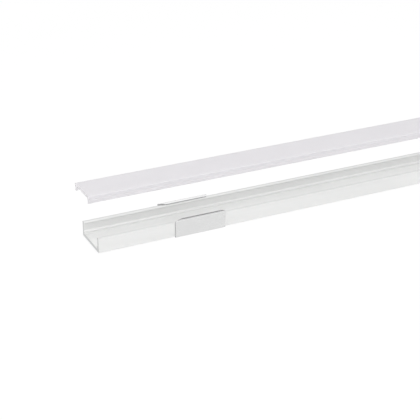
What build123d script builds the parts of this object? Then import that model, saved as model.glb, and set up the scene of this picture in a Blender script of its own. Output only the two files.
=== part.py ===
"""Surface-mounted aluminium profile for LED strip: channel, opal snap-in cover and two spring clips.

Millimetres. X runs along the profile, Y across it and Z up. The origin lies on the mounting
surface, under the clips, midway between the two screw holes. The cover is shown lifted off.
"""

import os

from build123d import *

# Channel, an open-topped extrusion
length = 300.0
channel_width = 17.4
channel_height = 6.4
wall = 1.1
base = 1.4
foot_radius = 0.3
rim_radius = 0.2

# Snap ridge along the top inside of each wall
ridge_reach = 0.25
ridge_lead_in = 0.55
ridge_land = 0.25
ridge_undercut = 0.25

# Shoulder along the foot of each wall, beside the bed for the strip
shoulder_reach = 0.6
shoulder_top = 1.4
shoulder_step = 0.6

# Opal cover, a flat plate with a leg along each edge
plate = 1.0
cover_depth = 3.1
leg = 0.9
cover_radius = 0.4
inner_radius = 0.3
groove_depth = 0.15
groove_height = 0.5
groove_drop = 0.25
foot_taper = 0.25
cover_clearance = 0.1
cover_stand = 0.6

# Where the cover hangs above its seat, and how far it lies towards -X
cover_lift = 17.1
cover_shift = 2.74

# Spring clip, folded from sheet
sheet = 0.4
bend_radius = 0.2
clip_length = 22.0
clip_inset = 32.6
clip_clearance = 0.05
lip_clearance = 0.1
lip_rise = 0.2
lip_ramp = 3.5
lip_corner = 0.7
screw_radius = 1.7
hole_chamfer = 0.12

# Levels and half widths that follow from the sizes above
channel_foot = sheet + clip_clearance
rim = channel_foot + channel_height
floor = channel_foot + base
half_outer = channel_width / 2
half_inner = half_outer - wall
half_ridge = half_inner - ridge_reach
half_bed = half_inner - shoulder_reach
half_cover = half_ridge - cover_clearance
seated_top = rim + cover_stand
cover_top = seated_top + cover_lift
clip_x = length / 2 - clip_inset - clip_length / 2


def right_half_of_channel():
    """Corners of the channel's section at +Y, from the middle of its foot round to the floor."""
    ridge_top = rim - ridge_lead_in
    ridge_foot = ridge_top - ridge_land
    return [
        (0, channel_foot),
        (half_outer, channel_foot),
        (half_outer, rim),
        (half_inner, rim),
        (half_ridge, ridge_top),
        (half_ridge, ridge_foot),
        (half_inner, ridge_foot - ridge_undercut),
        (half_inner, floor + shoulder_top),
        (half_bed, floor + shoulder_step),
        (half_bed, floor),
        (0, floor),
    ]


def right_half_of_cover():
    """Corners of the cover's section at +Y, from the middle of its top round to its underside."""
    underside = cover_top - plate
    foot = cover_top - cover_depth
    half_leg = half_cover - leg
    groove_top = underside - groove_drop
    return [
        (0, cover_top),
        (half_cover, cover_top),
        (half_cover, groove_top),
        (half_cover - groove_depth, groove_top - groove_depth),
        (half_cover - groove_depth, groove_top - groove_height),
        (half_cover, groove_top - groove_height - groove_depth),
        (half_cover, foot + foot_taper),
        (half_cover - foot_taper, foot),
        (half_leg, foot),
        (half_leg, underside),
        (0, underside),
    ]


def corners_at(sketch, half, level):
    """The section's two mirrored corners at one level, at +Y and at -Y."""
    found = [v for v in sketch.vertices() if abs(abs(v.X) - half) < 1e-4 and abs(v.Y - level) < 1e-4]
    return ShapeList(found)


# Channel
with BuildPart() as channel:
    with BuildSketch(Plane.YZ) as channel_section:
        with BuildLine():
            Polyline(right_half_of_channel())
            mirror(about=Plane.YZ)
        make_face()
        fillet(corners_at(channel_section, half_outer, channel_foot), foot_radius)
        fillet(corners_at(channel_section, half_outer, rim), rim_radius)
    extrude(amount=length / 2, both=True)
channel.part.label = "channel"

# Opal cover, the channel's length and shifted along it while it is off
with BuildPart() as diffuser_cover:
    with BuildSketch(Plane.YZ.offset(-cover_shift)) as cover_section:
        with BuildLine():
            Polyline(right_half_of_cover())
            mirror(about=Plane.YZ)
        make_face()
        fillet(corners_at(cover_section, half_cover, cover_top), cover_radius)
        fillet(corners_at(cover_section, half_cover - leg, cover_top - plate), inner_radius)
    extrude(amount=length / 2, both=True)
diffuser_cover.part.label = "diffuser_cover"


def spring_clip(middle, outward):
    """One clip round the channel, with its middle at that X and its ramped end towards outward * X."""
    half_space = half_outer + clip_clearance
    under_lip = rim + clip_clearance
    lip_root = under_lip + lip_rise
    lip_end = half_cover + lip_clearance
    half_clip = half_space + sheet
    bend_start = under_lip - bend_radius
    with BuildPart() as clip:
        with BuildSketch(Plane.YZ.offset(middle)):
            with BuildLine():
                FilletPolyline(
                    (-half_cover, under_lip),
                    (-half_space, lip_root),
                    (-half_space, sheet),
                    (half_space, sheet),
                    (half_space, lip_root),
                    (half_cover, under_lip),
                    radius=bend_radius,
                )
                offset(amount=sheet, side=Side.RIGHT)
            make_face()
        extrude(amount=clip_length / 2, both=True)
        # What is trimmed off between the lips, with a ramp at one end and a small corner at the other
        with BuildSketch(Plane((middle, 0, bend_start))):
            with BuildLine():
                Polyline(
                    (outward * clip_length / 2, 0),
                    (outward * clip_length / 2, half_clip),
                    (outward * (clip_length / 2 - lip_ramp), lip_end),
                    (-outward * (clip_length / 2 - lip_corner), lip_end),
                    (-outward * clip_length / 2, half_clip),
                    (-outward * clip_length / 2, 0),
                    close=True,
                )
            make_face()
            mirror(about=Plane.XZ)
        extrude(amount=lip_root + sheet - bend_start, mode=Mode.SUBTRACT)
        with Locations((middle, 0, sheet)):
            Hole(radius=screw_radius)
        round_edges = clip.edges().filter_by(GeomType.CIRCLE)
        hole_edges = round_edges.filter_by(lambda edge: abs(edge.radius - screw_radius) < 1e-6)
        chamfer(hole_edges.sort_by(Axis.Z)[-1], hole_chamfer)
    return clip.part


os.makedirs("parts", exist_ok=True)
export_step(channel.part, "parts/channel.step")
export_step(diffuser_cover.part, "parts/diffuser_cover.step")
for side, outward in (("left", -1), ("right", 1)):
    clip = spring_clip(outward * clip_x, outward)
    clip.label = f"mounting_clip_{side}"
    export_step(clip, f"parts/{clip.label}.step")
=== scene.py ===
"""Dressed model of a surface-mounted aluminium profile for LED strip, on a plain studio stage.

Metres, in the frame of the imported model: X runs along the profile, Y across it and Z up. Each piece
is drawn as a section or a folded sheet from the sizes in its property group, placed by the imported
model's boxes, and stands in for that model's plain solid.
"""

import math

import bmesh
import bpy
from mathutils import Euler, Matrix, Vector


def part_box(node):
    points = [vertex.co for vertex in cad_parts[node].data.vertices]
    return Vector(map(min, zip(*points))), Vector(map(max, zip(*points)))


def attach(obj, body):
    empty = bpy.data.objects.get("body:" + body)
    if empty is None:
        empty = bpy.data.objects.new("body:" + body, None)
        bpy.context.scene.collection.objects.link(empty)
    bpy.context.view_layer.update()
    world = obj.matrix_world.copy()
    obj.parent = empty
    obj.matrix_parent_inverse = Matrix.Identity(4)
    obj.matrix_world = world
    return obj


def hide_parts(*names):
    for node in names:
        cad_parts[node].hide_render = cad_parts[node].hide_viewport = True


bl_info = {
    "name": "LED strip profile",
    "version": (1, 0, 0),
    "blender": (4, 5, 0),
    "location": "View3D > Sidebar > LED profile",
    "description": "Builds an aluminium channel for LED strip with its opal cover and spring clips",
    "category": "Add Mesh",
}

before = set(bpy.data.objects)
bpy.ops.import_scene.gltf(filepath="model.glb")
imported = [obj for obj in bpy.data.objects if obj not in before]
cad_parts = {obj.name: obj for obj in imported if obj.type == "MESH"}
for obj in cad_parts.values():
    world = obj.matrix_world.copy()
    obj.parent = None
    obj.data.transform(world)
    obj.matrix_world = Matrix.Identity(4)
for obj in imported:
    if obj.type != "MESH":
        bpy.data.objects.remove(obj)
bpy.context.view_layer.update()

# Units, and the distance at which two points are the same
MM = 0.001
MICRON = 0.001 * MM
TOUCH = 0.001 * MM

# Segments of a rounded corner, a fold, the screw hole and a bevelled cut edge
ROUND_STEPS = 4
FOLD_STEPS = 8
HOLE_STEPS = 48
BREAK_STEPS = 2

# Angle between two faces from which the edge between them is sharp
SHARP = math.radians(40)

# How much of a normal lies along X and Y on a slanted face, and along X at an end
SLANTED = 0.3
END_ON = 0.99

# Material slots of a piece: its faces, its cut ends or edges, and the tops of the channel's walls, which
# get painted shade
FACES, CUT, SHADED_RIMS = range(3)

# How metallic bare and anodised metal look
BARE_METALLIC = 1.0
ANODISED_METALLIC = 0.4

# Values between which most of a noise lies
NOISE_RANGE = (0.3, 0.7)

# Radians by which a Wave texture of scale 1 turns in a metre
WAVE_TURN = 20

# Width of the camera's sensor in millimetres
SENSOR = 36.0

# Cards round the object that only reflections show: name, two angles in degrees over the object from
# the horizon behind it to the one in front, and how bright the card looks
CARDS = (
    ("grey_card", 0, 27, 0.33),
    ("white_card", 31, 65, 1.3),
    ("front_card", 130, 175, 1.2),
)

channel_low, channel_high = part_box("channel")
cover_low, cover_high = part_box("diffuser_cover")
clip_low, clip_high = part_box("mounting_clip_left")


def length_property(name, description, default):
    """A length in metres, shown with the scene's unit."""
    return bpy.props.FloatProperty(
        name=name, description=description, default=default, min=0.0, precision=5, unit="LENGTH"
    )


def colour_property(name, description, default):
    """A colour that the user picks."""
    return bpy.props.FloatVectorProperty(
        name=name, description=description, default=default, size=3, min=0.0, max=1.0, subtype="COLOR"
    )


def share_property(name, description, default):
    """A number from 0 to 1."""
    return bpy.props.FloatProperty(
        name=name, description=description, default=default, min=0.0, max=1.0, subtype="FACTOR"
    )


class ChannelSizes(bpy.types.PropertyGroup):
    """Section of the aluminium extrusion."""

    wall: length_property("Wall", "Thickness of each side wall", 1.1 * MM)
    base: length_property("Base", "Thickness of the floor of the channel", 1.4 * MM)
    foot_rounding: length_property("Foot rounding", "Rounding along the bottom corners", 0.3 * MM)
    rim_rounding: length_property("Rim rounding", "Rounding along the outside of each rim", 0.2 * MM)
    ridge_reach: length_property("Ridge reach", "From the wall to the face of its snap ridge", 0.25 * MM)
    ridge_lead_in: length_property("Ridge lead-in", "Height of the slope above the ridge", 0.55 * MM)
    ridge_land: length_property("Ridge land", "Height of the flat on the ridge", 0.25 * MM)
    ridge_undercut: length_property("Ridge undercut", "Height of the slope under the ridge", 0.25 * MM)
    shoulder_reach: length_property("Shoulder reach", "Width of the shoulder beside the bed", 0.6 * MM)
    shoulder_top: length_property("Shoulder top", "Height of the shoulder at the wall", 1.22 * MM)
    shoulder_step: length_property("Shoulder step", "Height of the shoulder beside the bed", 0.7 * MM)
    die_rounding: length_property("Die rounding", "Rounding of the corners inside the channel", 0.08 * MM)
    edge_break: length_property("Edge break", "Bevel that is left along a sawn end", 0.05 * MM)


class CoverSizes(bpy.types.PropertyGroup):
    """Section of the opal cover."""

    plate: length_property("Plate", "Thickness of the plate", 1.0 * MM)
    leg: length_property("Leg", "Thickness of each leg", 0.9 * MM)
    top_rounding: length_property("Top rounding", "Rounding along the top corners", 0.25 * MM)
    inner_rounding: length_property("Inner rounding", "Rounding between the plate and a leg", 0.3 * MM)
    groove_depth: length_property("Groove depth", "Depth of the groove that takes the ridge", 0.1 * MM)
    groove_height: length_property("Groove height", "Height of that groove", 0.5 * MM)
    groove_drop: length_property("Groove drop", "From the plate's underside to the groove", 0.25 * MM)
    foot_taper: length_property("Foot taper", "Bevel outside the foot of each leg", 0.25 * MM)
    die_rounding: length_property("Die rounding", "Rounding of the small corners of the legs", 0.05 * MM)
    edge_break: length_property("Edge break", "Bevel that is left along a cut end", 0.04 * MM)


class ClipSizes(bpy.types.PropertyGroup):
    """Folded steel clip."""

    sheet: length_property("Sheet", "Thickness of the steel", 0.4 * MM)
    bend: length_property("Bend", "Radius inside each fold", 0.2 * MM)
    lip_gap: length_property("Lip gap", "From the rim up to the lip, at the lip's lowest point", 0.05 * MM)
    lip_rise: length_property("Lip rise", "How much each lip rises towards its fold", 0.2 * MM)
    lip_clearance: length_property("Lip clearance", "From the cover's leg to the end of the lip", 0.1 * MM)
    lip_ramp: length_property("Lip ramp", "Length of the ramp at the outer end of a lip", 3.5 * MM)
    lip_corner: length_property("Lip corner", "Length of the corner cut at its inner end", 0.7 * MM)
    corner_rounding: length_property("Corner rounding", "Rounding of the lip's two corners", 0.25 * MM)
    screw_radius: length_property("Screw hole", "Radius of the hole in the back", 1.7 * MM)
    hole_chamfer: length_property("Hole chamfer", "Chamfer on the inside of that hole", 0.12 * MM)
    edge_break: length_property("Edge break", "Bevel along the cut edges", 0.03 * MM)


class Finishes(bpy.types.PropertyGroup):
    """Colours of the three materials, of the wall tops with their painted shade, and of the cut ends and
    edges, darker on the metal partly as painted shade and lighter on the opal as painted light.
    """

    aluminium: colour_property("Aluminium", "Satin anodised faces", (0.825, 0.828, 0.822))
    # Painted shade: the tops of the walls get the same aluminium a tone darker
    rim_shade: colour_property("Rims", "Tops of the channel's walls, a tone darker", (0.75, 0.753, 0.747))
    # Partly painted shade: the ends get bare metal a good deal darker than the anodised faces
    sawn_shaded: colour_property("Sawn aluminium", "Bare metal at the sawn ends", (0.58, 0.585, 0.585))
    opal: colour_property("Opal", "Milky plastic of the cover", (0.745, 0.728, 0.755))
    # Painted light: the cut ends get the opal a tone lighter than its faces
    lit_opal_end: colour_property("Cut opal", "The same plastic at its cut ends", (0.85, 0.83, 0.86))
    steel: colour_property("Steel", "Bright rolled sheet", (0.73, 0.732, 0.732))
    # Cut edges much darker than the sheet: partly the cut metal's own tone, partly painted shade
    sheared_and_shaded: colour_property("Sheared steel", "Edges where the sheet was cut", (0.52, 0.52, 0.53))


class StageSettings(bpy.types.PropertyGroup):
    """Camera, floor and light."""

    target_x: bpy.props.FloatProperty(
        name="Target X", description="Point along the profile that the camera aims at",
        default=-97.9 * MM, unit="LENGTH",
    )
    target_z: bpy.props.FloatProperty(
        name="Target Z", description="Height of that point", default=4.418 * MM, unit="LENGTH"
    )
    distance: length_property("Distance", "From the camera to that point", 471.2 * MM)
    turn: bpy.props.FloatProperty(
        name="Turn", description="Camera's turn about the vertical, from looking along +Y",
        default=math.radians(25.975), subtype="ANGLE", unit="ROTATION",
    )
    tilt: bpy.props.FloatProperty(
        name="Tilt", description="Camera's tilt below the horizontal",
        default=math.radians(25.555), subtype="ANGLE", unit="ROTATION",
    )
    lens: bpy.props.FloatProperty(
        name="Lens", description="Focal length in millimetres", default=98.6, unit="CAMERA"
    )
    floor_size: length_property("Floor size", "Side of the square floor", 12.0)
    floor_drop: length_property("Floor drop", "From the clips down to the floor", 0.02 * MM)
    floor_paint: colour_property("Floor paint", "Dull paint that takes the shadow", (0.95, 0.95, 0.95))
    open_floor: share_property("Open floor", "How bright that paint is where nothing shades it", 0.85)
    shadow: share_property("Shadow", "Share of the shaded paint that the white floor shows", 0.15)
    shadow_reach: length_property("Shadow reach", "Distance from the middle where that share ends", 0.6)
    sky: bpy.props.FloatProperty(
        name="Sky", description="Strength of the light that comes from all round", default=0.6
    )
    key_power: bpy.props.FloatProperty(
        name="Key lamp", description="Power of the large lamp in front", default=7.2, subtype="POWER"
    )
    key_size: length_property("Key size", "Side of the square lamp", 0.7)
    key_place: bpy.props.FloatVectorProperty(
        name="Key place", description="Where that lamp hangs", default=(-0.2, -0.5, 1.08), size=3,
        subtype="TRANSLATION", unit="LENGTH",
    )
    card_distance: length_property("Card distance", "From the camera's target to each card", 1.2)
    card_width: length_property("Card width", "Width of each card", 3.0)


def join(work, line):
    """An edge from each vertex of the line to the next."""
    for first, second in zip(line, line[1:]):
        work.edges.new((first, second))


def draw_out(work, extruded, length):
    """Move the vertices that an extrusion has added by that length along X."""
    moved = [part for part in extruded if isinstance(part, bmesh.types.BMVert)]
    bmesh.ops.translate(work, verts=moved, vec=(length, 0, 0))


def section_bar(half_section, start, length):
    """A bar along X from half its section, whose corners are (Y, Z, rounding) from middle to middle."""
    work = bmesh.new()
    rounding = work.verts.layers.float.new("rounding")
    line = []
    for y, z, size in half_section:
        corner = work.verts.new((start, y, z))
        corner[rounding] = size
        line.append(corner)
    join(work, line)
    bmesh.ops.mirror(work, geom=work.verts[:] + work.edges[:], axis="Y", merge_dist=TOUCH)
    bmesh.ops.edgeloop_fill(work, edges=work.edges[:])
    for size in sorted({size for y, z, size in half_section if size > 0}):
        corners = [vert for vert in work.verts if abs(vert[rounding] - size) < TOUCH]
        bmesh.ops.bevel(
            work, geom=corners, offset=size, affect="VERTICES", segments=ROUND_STEPS,
            profile=0.5, material=-1,
        )
    bmesh.ops.dissolve_verts(work, verts=[vert for vert in work.verts if abs(vert.co.y) < TOUCH])
    far_end = bmesh.ops.extrude_face_region(work, geom=work.faces[:])["geom"]
    draw_out(work, far_end, length)
    bmesh.ops.recalc_face_normals(work, faces=work.faces[:])
    return work


def break_edges(work, size):
    """A small bevel round both ends of a bar, which get their own material."""
    around_ends = [edge for edge in work.edges if abs(edge.verts[0].co.x - edge.verts[1].co.x) < TOUCH]
    bmesh.ops.bevel(
        work, geom=around_ends, offset=size, affect="EDGES", segments=BREAK_STEPS, profile=0.5,
        material=-1, clamp_overlap=True,
    )
    for face in work.faces:
        face.material_index = CUT if abs(face.normal.x) > END_ON else FACES


def shade(work):
    """Smooth faces that stay crisp along the sharp edges."""
    for face in work.faces:
        face.smooth = True
    for edge in work.edges:
        edge.smooth = edge.calc_face_angle(0.0) < SHARP


def as_object(work, name, materials):
    """The bmesh as an object in the scene, with its materials."""
    mesh = bpy.data.meshes.new(name)
    work.to_mesh(mesh)
    work.free()
    for material in materials:
        mesh.materials.append(material)
    piece = bpy.data.objects.new(name, mesh)
    bpy.context.scene.collection.objects.link(piece)
    return piece


def finished(work, name, body, materials, replaced):
    """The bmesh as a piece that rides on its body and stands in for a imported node."""
    shade(work)
    piece = as_object(work, name, materials)
    weighted = piece.modifiers.new("even shading", "WEIGHTED_NORMAL")
    weighted.keep_sharp = True
    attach(piece, body)
    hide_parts(replaced)
    return piece


class LEDPROFILE_OT_channel(bpy.types.Operator):
    """Build the aluminium channel: bed, shoulders, walls and snap ridges"""

    bl_idname = "led_profile.channel"
    bl_label = "Build channel"

    def execute(self, context):
        sizes = context.scene.led_channel
        finishes = context.scene.led_finishes
        foot = channel_low.z
        rim = channel_high.z
        floor = foot + sizes.base
        half_outer = channel_high.y
        half_inner = half_outer - sizes.wall
        half_ridge = half_inner - sizes.ridge_reach
        half_bed = half_inner - sizes.shoulder_reach
        ridge_top = rim - sizes.ridge_lead_in
        ridge_foot = ridge_top - sizes.ridge_land
        die = sizes.die_rounding
        half_section = [
            (0, foot, 0),
            (half_outer, foot, sizes.foot_rounding),
            (half_outer, rim, sizes.rim_rounding),
            (half_inner, rim, die),
            (half_ridge, ridge_top, die),
            (half_ridge, ridge_foot, die),
            (half_inner, ridge_foot - sizes.ridge_undercut, die),
            (half_inner, floor + sizes.shoulder_top, die),
            (half_bed, floor + sizes.shoulder_step, die),
            (half_bed, floor, die),
            (0, floor, 0),
        ]
        work = section_bar(half_section, channel_low.x, channel_high.x - channel_low.x)
        break_edges(work, sizes.edge_break)
        # Faces along the tops of the walls take the darker copy of the aluminium, a painted shade
        for face in work.faces:
            if face.material_index == FACES and face.calc_center_median().z > rim - sizes.rim_rounding:
                face.material_index = SHADED_RIMS
        materials = [
            anodised_aluminium("anodised aluminium", finishes.aluminium),
            sawn_shaded_aluminium(finishes),
            anodised_aluminium("anodised rims", finishes.rim_shade),
        ]
        finished(work, "extruded_channel", "profile", materials, "channel")
        return {"FINISHED"}


class LEDPROFILE_OT_cover(bpy.types.Operator):
    """Build the opal cover: plate and two barbed legs"""

    bl_idname = "led_profile.cover"
    bl_label = "Build cover"

    def execute(self, context):
        sizes = context.scene.led_cover
        finishes = context.scene.led_finishes
        foot = cover_low.z
        top = cover_high.z
        half = cover_high.y
        underside = top - sizes.plate
        groove_top = underside - sizes.groove_drop
        groove_foot = groove_top - sizes.groove_height
        groove_floor = half - sizes.groove_depth
        die = sizes.die_rounding
        half_section = [
            (0, top, 0),
            (half, top, sizes.top_rounding),
            (half, groove_top, die),
            (groove_floor, groove_top - sizes.groove_depth, die),
            (groove_floor, groove_foot, die),
            (half, groove_foot - sizes.groove_depth, die),
            (half, foot + sizes.foot_taper, die),
            (half - sizes.foot_taper, foot, die),
            (half - sizes.leg, foot, die),
            (half - sizes.leg, underside, sizes.inner_rounding),
            (0, underside, 0),
        ]
        work = section_bar(half_section, cover_low.x, cover_high.x - cover_low.x)
        break_edges(work, sizes.edge_break)
        materials = [opal_plastic(finishes), lit_cut_opal(finishes)]
        cover = finished(work, "opal_cover", "cover", materials, "diffuser_cover")
        # The opal lets light through, so it takes none from the channel below it
        cover.visible_shadow = False
        cover.visible_diffuse = False
        return {"FINISHED"}


def folded_strip(sizes, start, length):
    """The outside of a clip as a strip folded along X, still without thickness: back, plates and lips."""
    half_clip = clip_high.y
    half_space = half_clip - sizes.sheet
    lip_end = cover_high.y + sizes.lip_clearance
    slope = math.atan2(sizes.lip_rise, half_space - cover_high.y)

    def lip_top(y):
        """Height of a lip's upper face at that distance from the middle."""
        rise = (y - cover_high.y) * math.tan(slope)
        return channel_high.z + sizes.lip_gap + rise + sizes.sheet / math.cos(slope)

    path = [
        (-lip_end, lip_top(lip_end)), (-half_clip, lip_top(half_clip)), (-half_clip, 0),
        (half_clip, 0), (half_clip, lip_top(half_clip)), (lip_end, lip_top(lip_end)),
    ]
    work = bmesh.new()
    join(work, [work.verts.new((start, y, z)) for y, z in path])
    far_end = bmesh.ops.extrude_edge_only(work, edges=work.edges[:])["geom"]
    draw_out(work, far_end, length)
    folds = [edge for edge in work.edges if len(edge.link_faces) == 2]
    outer_bend = sizes.bend + sizes.sheet
    back_folds = [edge for edge in folds if edge.verts[0].co.z < outer_bend]
    lip_folds = [edge for edge in folds if edge.verts[0].co.z > outer_bend]
    for fold, turn in ((back_folds, math.pi / 2), (lip_folds, math.pi / 2 + slope)):
        bmesh.ops.bevel(
            work, geom=fold, offset=outer_bend * math.tan(turn / 2), affect="EDGES",
            segments=FOLD_STEPS, profile=0.5, material=-1,
        )
    return work


def trim_lips(work, sizes, ramp_x, corner_x):
    """Cut the ramp and the small corner off both lips, and round what is left of their corners."""
    half_clip = clip_high.y
    lip_end = cover_high.y + sizes.lip_clearance
    outward = math.copysign(1, ramp_x - corner_x)
    plate_top = max(vert.co.z for vert in work.verts if abs(abs(vert.co.y) - half_clip) < TOUCH)
    cuts = ((ramp_x, sizes.lip_ramp, outward), (corner_x, sizes.lip_corner, -outward))
    for side in (-1, 1):
        for end_x, cut, away in cuts:
            lip = [
                face for face in work.faces
                if face.calc_center_median().z > plate_top and face.calc_center_median().y * side > 0
            ]
            parts = {part for face in lip for part in (face, *face.edges, *face.verts)}
            bmesh.ops.bisect_plane(
                work, geom=list(parts), dist=TOUCH, plane_co=(end_x, side * half_clip, 0),
                plane_no=(away * (half_clip - lip_end), -side * cut, 0), clear_outer=True,
            )
    corners = [
        vert for vert in work.verts
        if abs(abs(vert.co.y) - lip_end) < TOUCH and vert.co.z > plate_top
    ]
    bmesh.ops.bevel(
        work, geom=corners, offset=sizes.corner_rounding, affect="VERTICES", segments=ROUND_STEPS,
        profile=0.5, material=-1,
    )


def open_screw_hole(work, sizes, middle):
    """Give the back a round hole in its middle."""
    back = min(work.faces, key=lambda face: face.calc_center_median().z)
    around = back.edges[:]
    ring = bmesh.ops.create_circle(
        work, cap_ends=False, radius=sizes.screw_radius, segments=HOLE_STEPS,
        matrix=Matrix.Translation((middle, 0, 0)),
    )["verts"]
    hole = {edge for vert in ring for edge in vert.link_edges}
    bmesh.ops.delete(work, geom=[back], context="FACES_ONLY")
    bmesh.ops.triangle_fill(
        work, edges=around + list(hole), use_beauty=True, use_dissolve=False, normal=(0, 0, -1)
    )


def thicken(work, sizes, middle):
    """Give the strip its thickness inwards, chamfer the hole and break the cut edges."""
    bmesh.ops.recalc_face_normals(work, faces=work.faces[:])
    lowest = min(work.faces, key=lambda face: face.calc_center_median().z)
    if lowest.normal.z > 0:
        bmesh.ops.reverse_faces(work, faces=work.faces[:])
    outside = work.faces[:]
    inside = bmesh.ops.solidify(work, geom=outside, thickness=sizes.sheet)["geom"]
    skins = set(outside) | {part for part in inside if isinstance(part, bmesh.types.BMFace)}
    # The cut edges take the darker steel, partly painted shade
    for face in work.faces:
        face.material_index = FACES if face in skins else CUT
    bmesh.ops.recalc_face_normals(work, faces=work.faces[:])
    # The ramps and corners of the lips take the sheet's lighter colour instead of the cut edges' darker
    # one, as painted light
    for face in work.faces:
        if min(abs(face.normal.x), abs(face.normal.y)) > SLANTED:
            face.material_index = FACES
    centre = Vector((middle, 0, sizes.sheet))
    hole_rim = [
        edge for edge in work.edges
        if all(abs((vert.co - centre).length - sizes.screw_radius) < TOUCH for vert in edge.verts)
    ]
    bmesh.ops.bevel(
        work, geom=hole_rim, offset=sizes.hole_chamfer, affect="EDGES", segments=1, profile=0.5,
        material=-1,
    )
    cut_edges = [edge for edge in work.edges if edge.calc_face_angle(0.0) > SHARP]
    bmesh.ops.bevel(
        work, geom=cut_edges, offset=sizes.edge_break, affect="EDGES", segments=BREAK_STEPS,
        profile=0.5, material=-1, clamp_overlap=True,
    )


class LEDPROFILE_OT_clips(bpy.types.Operator):
    """Build the two spring clips: back with its screw hole, plates and lips"""

    bl_idname = "led_profile.clips"
    bl_label = "Build clips"

    def execute(self, context):
        sizes = context.scene.led_clips
        finishes = context.scene.led_finishes
        materials = [rolled_steel(finishes), sheared_and_shaded_steel(finishes)]
        for side in ("left", "right"):
            low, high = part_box(f"mounting_clip_{side}")
            middle = (low.x + high.x) / 2
            ramp_x, corner_x = (low.x, high.x) if middle < 0 else (high.x, low.x)
            work = folded_strip(sizes, low.x, high.x - low.x)
            trim_lips(work, sizes, ramp_x, corner_x)
            open_screw_hole(work, sizes, middle)
            thicken(work, sizes, middle)
            finished(
                work, f"folded_clip_{side}", f"clip_{side}", materials,
                f"mounting_clip_{side}",
            )
        return {"FINISHED"}


def new_material(name):
    """A material with its node tree and its shader."""
    material = bpy.data.materials.new(name)
    material.use_nodes = True
    return material, material.node_tree, material.node_tree.nodes["Principled BSDF"]


def grain(tree, pitch, detail=3.0):
    """Noise with a grain of about that pitch along X, Y and Z."""
    place = tree.nodes.new("ShaderNodeTexCoord")
    stretched = tree.nodes.new("ShaderNodeMapping")
    stretched.inputs["Scale"].default_value = [1 / size for size in pitch]
    noise = tree.nodes.new("ShaderNodeTexNoise")
    noise.inputs["Scale"].default_value = 1.0
    noise.inputs["Detail"].default_value = detail
    tree.links.new(place.outputs["Object"], stretched.inputs["Vector"])
    tree.links.new(stretched.outputs["Vector"], noise.inputs["Vector"])
    return noise.outputs["Fac"]


def saw_arcs(tree, pitch, centre):
    """Arcs in the plane of a cut end, as a round saw leaves them."""
    place = tree.nodes.new("ShaderNodeTexCoord")
    shifted = tree.nodes.new("ShaderNodeMapping")
    shifted.inputs["Location"].default_value = [-part for part in centre]
    wave = tree.nodes.new("ShaderNodeTexWave")
    wave.wave_type = "RINGS"
    wave.rings_direction = "X"
    wave.inputs["Scale"].default_value = 2 * math.pi / WAVE_TURN / pitch
    wave.inputs["Distortion"].default_value = 4.0
    wave.inputs["Detail"].default_value = 2.0
    tree.links.new(place.outputs["Object"], shifted.inputs["Vector"])
    tree.links.new(shifted.outputs["Vector"], wave.inputs["Vector"])
    return wave.outputs["Fac"]


def averaged(tree, first, second, share=0.5):
    """Two values mixed, with that share of the second."""
    mix = tree.nodes.new("ShaderNodeMix")
    mix.inputs["Factor"].default_value = share
    tree.links.new(first, mix.inputs["A"])
    tree.links.new(second, mix.inputs["B"])
    return mix.outputs["Result"]


def tint(tree, shader, value, colour, contrast):
    """Base colour that is darker where the value is low and lighter where it is high."""
    ramp = tree.nodes.new("ShaderNodeValToRGB")
    dark, light = ramp.color_ramp.elements
    dark.position, light.position = NOISE_RANGE
    dark.color = (*(part * (1 - contrast) for part in colour), 1)
    light.color = (*(min(part * (1 + contrast), 1) for part in colour), 1)
    tree.links.new(value, ramp.inputs["Fac"])
    tree.links.new(ramp.outputs["Color"], shader.inputs["Base Color"])


def roughen(tree, shader, value, low, high):
    """Roughness from low to high with the value."""
    spread = tree.nodes.new("ShaderNodeMapRange")
    spread.inputs["From Min"].default_value, spread.inputs["From Max"].default_value = NOISE_RANGE
    spread.inputs["To Min"].default_value = low
    spread.inputs["To Max"].default_value = high
    tree.links.new(value, spread.inputs["Value"])
    tree.links.new(spread.outputs["Result"], shader.inputs["Roughness"])


def emboss(tree, shader, layers):
    """Bump from pairs of a value and its depth, one over the other."""
    below = None
    for value, depth in layers:
        bump = tree.nodes.new("ShaderNodeBump")
        bump.inputs["Distance"].default_value = depth
        tree.links.new(value, bump.inputs["Height"])
        if below:
            tree.links.new(below, bump.inputs["Normal"])
        below = bump.outputs["Normal"]
    tree.links.new(below, shader.inputs["Normal"])


def anodised_aluminium(name, colour):
    """Satin extrusion: long lines from the die, an etched grain and a slow drift in tone."""
    material, tree, shader = new_material(name)
    die_lines = grain(tree, pitch=(70 * MM, 0.14 * MM, 0.14 * MM), detail=5.0)
    etch = grain(tree, pitch=(0.07 * MM, 0.05 * MM, 0.05 * MM), detail=2.0)
    drift = grain(tree, pitch=(45 * MM, 4 * MM, 4 * MM), detail=2.0)
    shader.inputs["Metallic"].default_value = ANODISED_METALLIC
    tint(tree, shader, averaged(tree, die_lines, drift, share=0.6), colour, contrast=0.025)
    roughen(tree, shader, averaged(tree, die_lines, etch), low=0.36, high=0.48)
    emboss(tree, shader, [(die_lines, 3 * MICRON), (etch, 1.5 * MICRON)])
    return material


def sawn_shaded_aluminium(finishes):
    """Bare metal of an end cut by the saw, with the arcs of the blade, in a darker tone that is partly
    painted shade.
    """
    material, tree, shader = new_material("sawn aluminium")
    arcs = saw_arcs(tree, pitch=0.21 * MM, centre=(0, -60 * MM, 45 * MM))
    torn = grain(tree, pitch=(0.2 * MM, 0.07 * MM, 0.12 * MM))
    marks = averaged(tree, arcs, torn, share=0.65)
    shader.inputs["Metallic"].default_value = BARE_METALLIC
    tint(tree, shader, marks, finishes.sawn_shaded, contrast=0.06)
    roughen(tree, shader, marks, low=0.32, high=0.48)
    emboss(tree, shader, [(arcs, 2.5 * MICRON), (torn, 2.5 * MICRON)])
    return material


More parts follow.
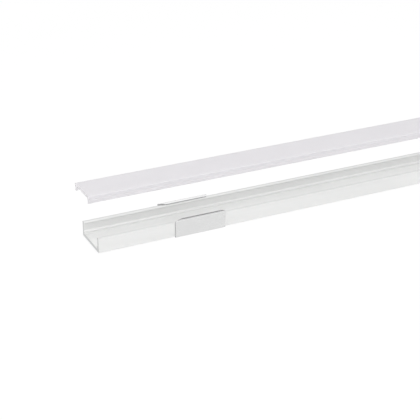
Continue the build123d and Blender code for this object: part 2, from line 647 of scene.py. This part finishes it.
def opal_plastic(finishes):
    """Milky plastic that light passes into, with faint streaks and a slight ripple from the die."""
    material, tree, shader = new_material("opal plastic")
    streaks = grain(tree, pitch=(90 * MM, 0.5 * MM, 0.5 * MM), detail=4.0)
    clouds = grain(tree, pitch=(22 * MM, 7 * MM, 7 * MM), detail=2.0)
    milky(shader)
    tint(tree, shader, averaged(tree, streaks, clouds, share=0.6), finishes.opal, contrast=0.015)
    roughen(tree, shader, streaks, low=0.34, high=0.44)
    emboss(tree, shader, [(clouds, 12 * MICRON), (streaks, 4 * MICRON)])
    return material


def lit_cut_opal(finishes):
    """The cut ends of the same plastic, dull and finely scratched, and a tone lighter as painted light."""
    material, tree, shader = new_material("cut opal plastic")
    scratches = grain(tree, pitch=(0.3 * MM, 0.05 * MM, 0.6 * MM))
    milky(shader)
    tint(tree, shader, scratches, finishes.lit_opal_end, contrast=0.05)
    roughen(tree, shader, scratches, low=0.5, high=0.65)
    emboss(tree, shader, [(scratches, 10 * MICRON)])
    return material


def milky(shader):
    """Light passes a few millimetres into the plastic."""
    shader.inputs["IOR"].default_value = 1.49
    shader.inputs["Subsurface Weight"].default_value = 0.3
    shader.inputs["Subsurface Radius"].default_value = (1.0, 1.0, 1.0)
    shader.inputs["Subsurface Scale"].default_value = 3 * MM


def rolled_steel(finishes):
    """Bright sheet with the fine lines of the rolls and faint clouds."""
    material, tree, shader = new_material("rolled steel")
    roll_lines = grain(tree, pitch=(9 * MM, 0.07 * MM, 0.07 * MM), detail=4.0)
    clouds = grain(tree, pitch=(5 * MM, 3 * MM, 3 * MM), detail=2.0)
    marks = averaged(tree, roll_lines, clouds)
    shader.inputs["Metallic"].default_value = BARE_METALLIC
    tint(tree, shader, marks, finishes.steel, contrast=0.03)
    roughen(tree, shader, marks, low=0.2, high=0.3)
    emboss(tree, shader, [(clouds, 6 * MICRON), (roll_lines, 1.5 * MICRON)])
    return material


def sheared_and_shaded_steel(finishes):
    """Cut edge of the sheet, torn finely across its thickness, in a darker tone that is partly the cut
    metal's own and partly painted shade.
    """
    material, tree, shader = new_material("sheared steel")
    tears = grain(tree, pitch=(0.05 * MM, 0.15 * MM, 0.15 * MM))
    shader.inputs["Metallic"].default_value = BARE_METALLIC
    tint(tree, shader, tears, finishes.sheared_and_shaded, contrast=0.15)
    roughen(tree, shader, tears, low=0.35, high=0.6)
    emboss(tree, shader, [(tears, 8 * MICRON)])
    return material


def seen_directly(tree):
    """1 for a camera, glossy or transmission ray, else 0."""
    path = tree.nodes.new("ShaderNodeLightPath")
    first = tree.nodes.new("ShaderNodeMath")
    first.operation = "MAXIMUM"
    tree.links.new(path.outputs["Is Camera Ray"], first.inputs[0])
    tree.links.new(path.outputs["Is Glossy Ray"], first.inputs[1])
    second = tree.nodes.new("ShaderNodeMath")
    second.operation = "MAXIMUM"
    tree.links.new(first.outputs[0], second.inputs[0])
    tree.links.new(path.outputs["Is Transmission Ray"], second.inputs[1])
    return second.outputs[0]


def mixed(tree, factor, first, second):
    """A Mix Shader node of two shaders, with the factor's share of the second."""
    mix = tree.nodes.new("ShaderNodeMixShader")
    tree.links.new(factor, mix.inputs[0])
    tree.links.new(first.outputs[0], mix.inputs[1])
    tree.links.new(second.outputs[0], mix.inputs[2])
    return mix


def blank_material(name):
    """A material of the stage, still without a shader, and its node tree."""
    material, tree, shader = new_material(name)
    tree.nodes.remove(shader)
    return material, tree


def white_floor(stage):
    """White where it is seen, with a share of the shadow near the object, and clear from below."""
    material, tree = blank_material("white floor")
    paint = tree.nodes.new("ShaderNodeBsdfDiffuse")
    paint.inputs["Color"].default_value = (*stage.floor_paint, 1)
    glow = tree.nodes.new("ShaderNodeEmission")
    # With the paint's share this glow is just white near the object, and a little over it further out
    glow.inputs["Strength"].default_value = (1 - stage.shadow * stage.open_floor) / (1 - stage.shadow)
    clear = tree.nodes.new("ShaderNodeBsdfTransparent")
    place = tree.nodes.new("ShaderNodeTexCoord")
    away = tree.nodes.new("ShaderNodeVectorMath")
    away.operation = "LENGTH"
    tree.links.new(place.outputs["Object"], away.inputs[0])
    share = tree.nodes.new("ShaderNodeMapRange")
    share.inputs["From Min"].default_value = stage.shadow_reach / 2
    share.inputs["From Max"].default_value = stage.shadow_reach
    share.inputs["To Min"].default_value = stage.shadow
    share.inputs["To Max"].default_value = 0.0
    tree.links.new(away.outputs["Value"], share.inputs["Value"])
    shown = mixed(tree, share.outputs["Result"], glow, paint)
    lit = mixed(tree, seen_directly(tree), paint, shown)
    side = tree.nodes.new("ShaderNodeNewGeometry")
    both = mixed(tree, side.outputs["Backfacing"], lit, clear)
    tree.links.new(both.outputs[0], tree.nodes["Material Output"].inputs["Surface"])
    return material


class LEDPROFILE_OT_stage(bpy.types.Operator):
    """Set up the white floor, the soft light and the camera"""

    bl_idname = "led_profile.stage"
    bl_label = "Build stage"

    def execute(self, context):
        stage = context.scene.led_stage
        self.floor(stage)
        self.sky(context.scene, stage)
        self.lamp(stage)
        for name, low, high, level in CARDS:
            self.card(stage, name, math.radians(low), math.radians(high), level)
        self.camera(context.scene, stage)
        context.scene.view_settings.view_transform = "Standard"
        return {"FINISHED"}

    def floor(self, stage):
        """A large plane just under the clips."""
        work = bmesh.new()
        bmesh.ops.create_grid(work, x_segments=1, y_segments=1, size=stage.floor_size / 2)
        bmesh.ops.translate(work, verts=work.verts[:], vec=(0, 0, -stage.floor_drop))
        floor = as_object(work, "floor", [white_floor(stage)])

    def sky(self, scene, stage):
        """Light from all round, and plain white where it is seen."""
        world = bpy.data.worlds.new("studio")
        scene.world = world
        world.use_nodes = True
        tree = world.node_tree
        background = tree.nodes["Background"]
        background.inputs["Color"].default_value = (1, 1, 1, 1)
        strength = tree.nodes.new("ShaderNodeMapRange")
        tree.links.new(seen_directly(tree), strength.inputs["Value"])
        strength.inputs["To Min"].default_value = stage.sky
        strength.inputs["To Max"].default_value = 1.0
        tree.links.new(strength.outputs["Result"], background.inputs["Strength"])

    def lamp(self, stage):
        """One large soft lamp, high in front and a little to the left."""
        lamp = bpy.data.lights.new("key lamp", "AREA")
        lamp.shape = "SQUARE"
        lamp.size = stage.key_size
        lamp.energy = stage.key_power
        holder = bpy.data.objects.new("key lamp", lamp)
        holder.location = stage.key_place
        holder.rotation_euler = holder.location.to_track_quat("Z", "Y").to_euler()
        holder.visible_camera = False
        holder.visible_glossy = False
        bpy.context.scene.collection.objects.link(holder)

    def card(self, stage, name, low, high, level):
        """A card that faces the object between two angles over it, which only a reflection shows."""
        middle = (low + high) / 2
        behind = Vector((math.sin(stage.turn), math.cos(stage.turn), 0))
        toward = behind * math.cos(middle) + Vector((0, 0, math.sin(middle)))
        half_width = stage.card_width / 2
        half_height = stage.card_distance * math.tan((high - low) / 2)
        work = bmesh.new()
        bmesh.ops.create_grid(work, x_segments=1, y_segments=1, size=1.0)
        bmesh.ops.scale(work, verts=work.verts[:], vec=(half_width, half_height, 1))
        facing = Euler((math.pi / 2 + middle, 0, -stage.turn)).to_matrix().to_4x4()
        facing.translation = Vector((stage.target_x, 0, 0)) + toward * stage.card_distance
        bmesh.ops.transform(work, verts=work.verts[:], matrix=facing)
        material, tree = blank_material(name)
        glow = tree.nodes.new("ShaderNodeEmission")
        glow.inputs["Strength"].default_value = level
        tree.links.new(glow.outputs[0], tree.nodes["Material Output"].inputs["Surface"])
        card = as_object(work, name, [material])
        card.visible_camera = False
        card.visible_diffuse = False
        card.visible_shadow = False
        card.visible_transmission = False

    def camera(self, scene, stage):
        """The photograph's view of the open end."""
        data = bpy.data.cameras.new("camera")
        data.lens = stage.lens
        data.sensor_width = SENSOR
        camera = bpy.data.objects.new("camera", data)
        camera.rotation_euler = Euler((math.pi / 2 - stage.tilt, 0, -stage.turn))
        back = camera.rotation_euler.to_matrix() @ Vector((0, 0, stage.distance))
        camera.location = Vector((stage.target_x, 0, stage.target_z)) + back
        scene.collection.objects.link(camera)
        scene.camera = camera


class LEDPROFILE_PT_sidebar(bpy.types.Panel):
    """Sizes, colours and build steps of the LED profile"""

    bl_idname = "LEDPROFILE_PT_sidebar"
    bl_label = "LED profile"
    bl_space_type = "VIEW_3D"
    bl_region_type = "UI"
    bl_category = "LED profile"

    def draw(self, context):
        for operator, groups in BUILD_STEPS:
            self.layout.operator(operator)
            for group in groups:
                settings = getattr(context.scene, group)
                for name in settings.bl_rna.properties.keys():
                    if name not in ("rna_type", "name"):
                        self.layout.prop(settings, name)


BUILD_STEPS = (
    ("led_profile.channel", ("led_finishes", "led_channel")),
    ("led_profile.cover", ("led_cover",)),
    ("led_profile.clips", ("led_clips",)),
    ("led_profile.stage", ("led_stage",)),
)

SETTINGS = {
    "led_channel": ChannelSizes,
    "led_cover": CoverSizes,
    "led_clips": ClipSizes,
    "led_finishes": Finishes,
    "led_stage": StageSettings,
}

CLASSES = (
    *SETTINGS.values(),
    LEDPROFILE_OT_channel,
    LEDPROFILE_OT_cover,
    LEDPROFILE_OT_clips,
    LEDPROFILE_OT_stage,
    LEDPROFILE_PT_sidebar,
)


def register():
    """Add the classes, and a group of settings of each kind to the scene."""
    for cls in CLASSES:
        bpy.utils.register_class(cls)
    for name, group in SETTINGS.items():
        setattr(bpy.types.Scene, name, bpy.props.PointerProperty(type=group))


def unregister():
    """Take the settings and the classes away again."""
    for name in SETTINGS:
        delattr(bpy.types.Scene, name)
    for cls in reversed(CLASSES):
        bpy.utils.unregister_class(cls)


def main():
    """Build every piece and the stage."""
    register()
    bpy.ops.led_profile.channel()
    bpy.ops.led_profile.cover()
    bpy.ops.led_profile.clips()
    bpy.ops.led_profile.stage()


if __name__ == "__main__":
    main()
